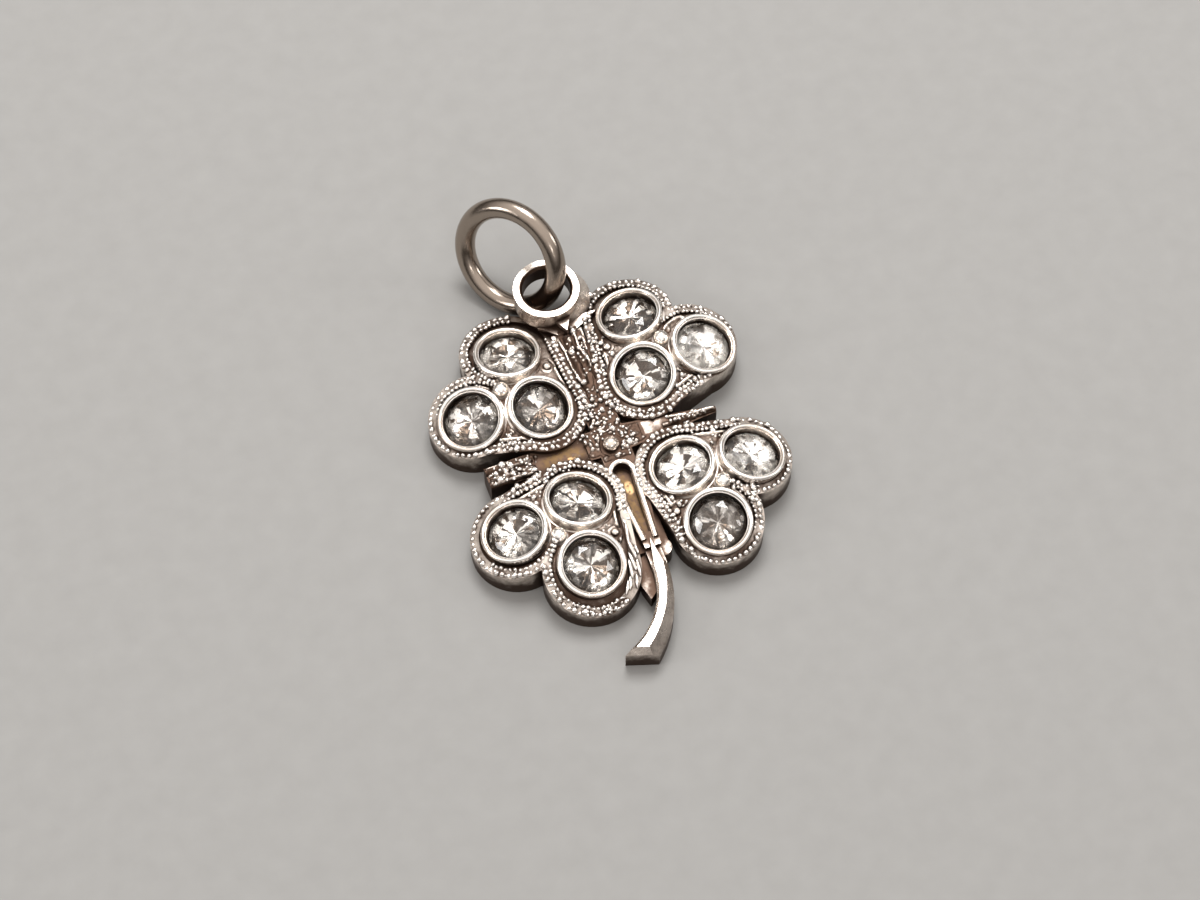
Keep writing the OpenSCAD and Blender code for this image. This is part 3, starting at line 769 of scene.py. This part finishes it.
def field_mesh(name):
    """Small faces on the casting where it is grained, with the share as an attribute."""
    form = bmesh.new()
    share = form.verts.layers.float.new("graining")
    spots = {}
    count = int(FIELD_REACH / FIELD_STEP)
    for i in range(-count, count + 1):
        for j in range(-count, count + 1):
            x, y = i * FIELD_STEP, j * FIELD_STEP
            amount = graining(x, y)
            spot = on_casting(x, y) if amount > 0 else None
            if spot:
                spots[i, j] = form.verts.new(spot + Vector((0, 0, GRAIN_LIFT * MM)))
                spots[i, j][share] = amount
    for i, j in spots:
        ring = [spots.get(k) for k in ((i, j), (i + 1, j), (i + 1, j + 1), (i, j + 1))]
        if None not in ring and max(v.co.z for v in ring) - min(v.co.z for v in ring) < FIELD_STEEPEST * MM:
            form.faces.new(ring)
    return plain_mesh(name, form)


scatter_tree, ins = geometry_tree(
    "Granulation",
    {"Spacing": 0.0, "Thickest": 0.0, "Grain size": 0.0, "Size spread": 0.0, "Wander": 0.0, "Seed": 0,
     "Metal": None},
)
marks = node(
    scatter_tree, "GeometryNodeDistributePointsOnFaces",
    {"Mesh": ins["Geometry"], "Distance Min": ins["Spacing"], "Density Max": ins["Thickest"],
     "Density Factor": named_value(scatter_tree, "graining"), "Seed": ins["Seed"]},
    distribute_method="POISSON",
)
moved = wander(scatter_tree, marks.outputs["Points"], ins)
tree_end(scatter_tree, grain_on(scatter_tree, moved, ins), ins["Metal"])
for name, seed, spacing, size in (("large", 3, 0.33, 0.29), ("small", 4, 0.17, 0.15)):
    grow(
        f"granulation_{name}", field_mesh(name), scatter_tree,
        {"Spacing": spacing * MM, "Thickest": THICKEST / (spacing * MM) ** 2, "Grain size": size * MM,
         "Size spread": 0.4, "Wander": 0.02 * MM, "Seed": seed, "Metal": grain_silver},
    )

# Stones: twelve round brilliant-cut pastes, clear and a little grey, each rolled
# into its cup over a thin pleated foil. Each pleat of the foil is painted from
# near black to near white, which gives the stones their flashes and dark sectors
# as painted reflections. Two of the stones have clouded with wear.
PASTE = (0.99, 0.98, 0.962, 1)
PASTE_IOR = 1.62
RUBBED_PATCH, RUBBED_FADE = 0.4 * MM, 0.3
FOIL_DARK = (0.085, 0.062, 0.046, 1)
FOIL_BRIGHT = (1.0, 0.98, 0.945, 1)
FOIL_DULLNESS = 0.16
CREASE, CREASE_H = 0.35 * MM, 0.03 * MM
STONE_R = 1.3
STONE_DROP = 0.45
RIM_H = 2.05
CUP_LEAN = 14
GIRDLE_H = 0.06
PAVILION_H = 1.02
TURNS = {"ul": (5, 12, 31), "ur": (8, 27, 15), "ll": (38, 19, 2), "lr": (22, 34, 10)}
FAR_NAME = {"ul": "top", "ur": "top", "ll": "low", "lr": "low"}
CLOUDED = ("stone_ur_out", "stone_lr_out")


def paste(name, rubbed_from, clouding):
    """Clear cut glass whose polish has been rubbed in places."""
    finish, tree, shader, place = finish_start(name)
    rubbed = smooth_step(tree, noise(tree, place, RUBBED_PATCH, 3.0), rubbed_from, rubbed_from + RUBBED_FADE)
    tree.links.new(calc(tree, "MULTIPLY", rubbed, clouding), shader.inputs["Roughness"])
    shader.inputs["Base Color"].default_value = PASTE
    shader.inputs["Transmission Weight"].default_value = 1
    shader.inputs["IOR"].default_value = PASTE_IOR
    return finish


clear_paste = paste("clear_paste", rubbed_from=0.45, clouding=0.03)
clouded_paste = paste("clouded_paste", rubbed_from=0.3, clouding=0.4)
# Painted reflection: the colour of the foil runs from near black to near white by pleat, for the flashes of
# the stones.
foil, tree, shader, place = finish_start("stone_foil")
creases = noise(tree, place, CREASE, 4.0)
shade = node(tree, "ShaderNodeAttribute", attribute_name="foil_shade").outputs["Fac"]
spotting = smooth_step(tree, calc(tree, "ADD", creases, shade), 0.5, 1.3)
crumple = node(tree, "ShaderNodeBump", {"Distance": CREASE_H, "Height": creases})
tree.links.new(blend(tree, spotting, FOIL_DARK, FOIL_BRIGHT), shader.inputs["Base Color"])
tree.links.new(crumple.outputs["Normal"], shader.inputs["Normal"])
shader.inputs["Metallic"].default_value = 1
shader.inputs["Roughness"].default_value = FOIL_DULLNESS


def cup_place(leaf, cup, turn):
    """Where a stone lies: its cup's place and lean, mirrored into its leaf's quarter."""
    out_way = math.atan2(cup[1] - LEAF_MID, cup[0] - LEAF_MID)
    return (
        Matrix.Diagonal((leaf[0], leaf[1], 1, 1))
        @ Matrix.Translation((cup[0] * MM, cup[1] * MM, RIM_H * MM))
        @ Matrix.Rotation(out_way, 4, "Z")
        @ Matrix.Rotation(math.radians(CUP_LEAN), 4, "Y")
        @ Matrix.Translation((0, 0, -STONE_DROP * MM))
        @ Matrix.Rotation(math.radians(turn), 4, "Z")
    )


# The foil: its face in the glass and its back by the pavilion, as shares of the
# stone's radius and depth, and how bright each pleat is painted, for the stones'
# painted flashes.
PLEATS = 32
PLEAT_H = 0.13
BAND_TURN = 11
FOIL_FACE = ((0.97, 0.0), (0.84, 0.14), (0.58, 0.19), (0.32, 0.22), (0, 0.24))
FOIL_BACK = ((1.0, 0.012), (0.66, 0.352), (0.33, 0.682), (0, 1.012))
FOIL_SHADES = (0.0, 0.12, 0.35)
PLEAT_RUNS = (1, 1, 2, 3)
BRIGHT_SHARE = {
    "ul": (0.2, 0.45, 0.25), "ur": (0.45, 0.45, 0.45), "ll": (0.5, 0.18, 0.35), "lr": (0.45, 0.08, 0.45),
}


def foil_layer(form, profile, pleats, shades):
    """One layer of a stone's foil, with pleats that die out at its lip and its tip. Gives its lip."""
    shade = form.faces.layers.float["foil_shade"]
    rings = []
    for share, depth in profile[:-1]:
        ring = []
        for i in range(PLEATS):
            angle = i * 2 * math.pi / PLEATS
            down = GIRDLE_H / 2 + depth * PAVILION_H - pleats[i] * min(1 - share, 0.5 * share)
            x, y = share * STONE_R * math.cos(angle), share * STONE_R * math.sin(angle)
            ring.append(form.verts.new((x * MM, y * MM, -down * MM)))
        rings.append(ring)
    tip = form.verts.new((0, 0, -(GIRDLE_H / 2 + profile[-1][1] * PAVILION_H) * MM))
    for i in range(PLEATS):
        ahead = (i + 1) % PLEATS
        for band, (upper, lower) in enumerate(zip(rings, rings[1:])):
            lit = shades[(i + BAND_TURN * (band + 1)) % PLEATS]
            form.faces.new((upper[i], upper[ahead], lower[ahead], lower[i]))[shade] = lit
        form.faces.new((rings[-1][i], rings[-1][ahead], tip))[shade] = shades[i]
    return rings[0]


chance = random.Random(7)
for leaf_name, leaf in LEAVES.items():
    for (cup_name, cup), turn, share in zip(CUPS.items(), TURNS[leaf_name], BRIGHT_SHARE[leaf_name]):
        end = {"in": "in", "long": FAR_NAME[leaf_name], "side": "out"}[cup_name]
        stone = f"stone_{leaf_name}_{end}"
        dress(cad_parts[stone], clouded_paste if stone in CLOUDED else clear_paste)
        form = bmesh.new()
        form.faces.layers.float.new("foil_shade")
        pleats = [chance.uniform(0, PLEAT_H) for i in range(PLEATS)]
        # Each run of pleats is painted as a flash or at a dim level.
        shades = []
        while len(shades) < PLEATS:
            shade = 1.0 if chance.random() < share else chance.choice(FOIL_SHADES)
            shades += [shade] * chance.choice(PLEAT_RUNS)
        inner_lip = foil_layer(form, FOIL_FACE, pleats, shades)
        outer_lip = foil_layer(form, FOIL_BACK, [0] * PLEATS, shades)
        for i in range(PLEATS):
            ahead = (i + 1) % PLEATS
            form.faces.new((inner_lip[i], outer_lip[i], outer_lip[ahead], inner_lip[ahead]))
        bmesh.ops.transform(form, matrix=cup_place(leaf, cup, turn), verts=form.verts)
        bmesh.ops.recalc_face_normals(form, faces=form.faces)
        mesh = plain_mesh(f"foil_{leaf_name}_{end}", form)
        mesh.materials.append(foil)
        on_setting(in_scene(mesh.name, mesh))

# Jump ring: a closed ring of round drawn wire, duller and browner than the
# setting, which hangs in the eye and leans on the surface beside it.
RING_BRIGHT = (0.36, 0.30, 0.25, 1)
RING_TARNISH = (0.06, 0.044, 0.034, 1)
ring_silver, parts = worn_silver(
    "ring_silver", RING_BRIGHT, RING_TARNISH, cleaned=0.62, polish=0.13, dullness=0.34, relief=0.012 * MM
)
dress(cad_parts["jump_ring"], ring_silver)

# Table: a wide sheet of pale paper under the pendant, which the metal reflects
# from below.
TABLE = 0.9
PAPER_DARK = (0.27, 0.265, 0.255, 1)
PAPER_PALE = (0.31, 0.305, 0.295, 1)
PAPER_DULLNESS = 0.9
FIBRE = 1.1 * MM
form = bmesh.new()
bmesh.ops.create_grid(form, x_segments=1, y_segments=1, size=TABLE / 2)
table = in_scene("table", plain_mesh("table", form))
paper, tree, shader, place = finish_start("pale_paper")
fibres = noise(tree, place, FIBRE, 6.0)
tree.links.new(blend(tree, fibres, PAPER_DARK, PAPER_PALE), shader.inputs["Base Color"])
shader.inputs["Roughness"].default_value = PAPER_DULLNESS
table.data.materials.append(paper)

# Studio light: a soft key from behind on the right, a lower one from the left,
# and small lights that make the stones flash, under a dome that is bright at
# its top. Each light has a place and a size in metres, and a power in watts.
LIGHTS = [
    ("key", (0.04, 0.108, 0.222), 0.11, 0.5),
    ("left_strip", (-0.22, 0.03, 0.11), 0.07, 0.12),
    ("right_strip", (0.21, -0.05, 0.12), 0.06, 0.08),
    ("front_spot", (-0.02, -0.20, 0.15), 0.03, 0.03),
]
DOME_LOW = (0.07, 0.062, 0.055, 1)
DOME_TOP = (1.15, 1.1, 1.065, 1)
for name, place, size, power in LIGHTS:
    lamp = bpy.data.lights.new(name, "AREA")
    lamp.size = size
    lamp.energy = power
    light = in_scene(name, lamp)
    light.location = place
    light.rotation_euler = (-Vector(place)).to_track_quat("-Z", "Y").to_euler()
world = bpy.data.worlds.new("studio")
world.use_nodes = True
tree = world.node_tree
sky = node(tree, "ShaderNodeSeparateXYZ", {0: node(tree, "ShaderNodeTexCoord").outputs["Generated"]})
overhead = smooth_step(tree, sky.outputs[2], 0.12, 0.88)
tree.links.new(blend(tree, overhead, DOME_LOW, DOME_TOP), tree.nodes["Background"].inputs["Color"])
scene.world = world

# Camera: it stands where the photograph was taken from, above the stem's left
# side, with the same field of view and the same place in the picture.
VIEW_LEFT = math.radians(20.33)
VIEW_HEIGHT = math.radians(62.43)
VIEW_DISTANCE = 122.7 * MM
AIM = Vector((0, 0, 2.05 * MM))
LENS, SENSOR = 79.14, 36
OFF_MIDDLE = (-10.9, -15.6)
PHOTO_WIDTH = 1200
NEAREST = 0.005
back = Vector((
    -math.sin(VIEW_LEFT) * math.cos(VIEW_HEIGHT),
    -math.cos(VIEW_LEFT) * math.cos(VIEW_HEIGHT),
    math.sin(VIEW_HEIGHT),
))
right = Vector((math.cos(VIEW_LEFT), -math.sin(VIEW_LEFT), 0))
up = back.cross(right)
lens = bpy.data.cameras.new("camera")
lens.lens = LENS
lens.sensor_width = SENSOR
lens.shift_x, lens.shift_y = (off / PHOTO_WIDTH for off in OFF_MIDDLE)
lens.clip_start = NEAREST
camera = in_scene("camera", lens)
turn = Matrix((right, up, back)).transposed().to_4x4()
camera.matrix_world = Matrix.Translation(AIM + back * VIEW_DISTANCE) @ turn
scene.camera = camera
scene.view_settings.view_transform = "Standard"
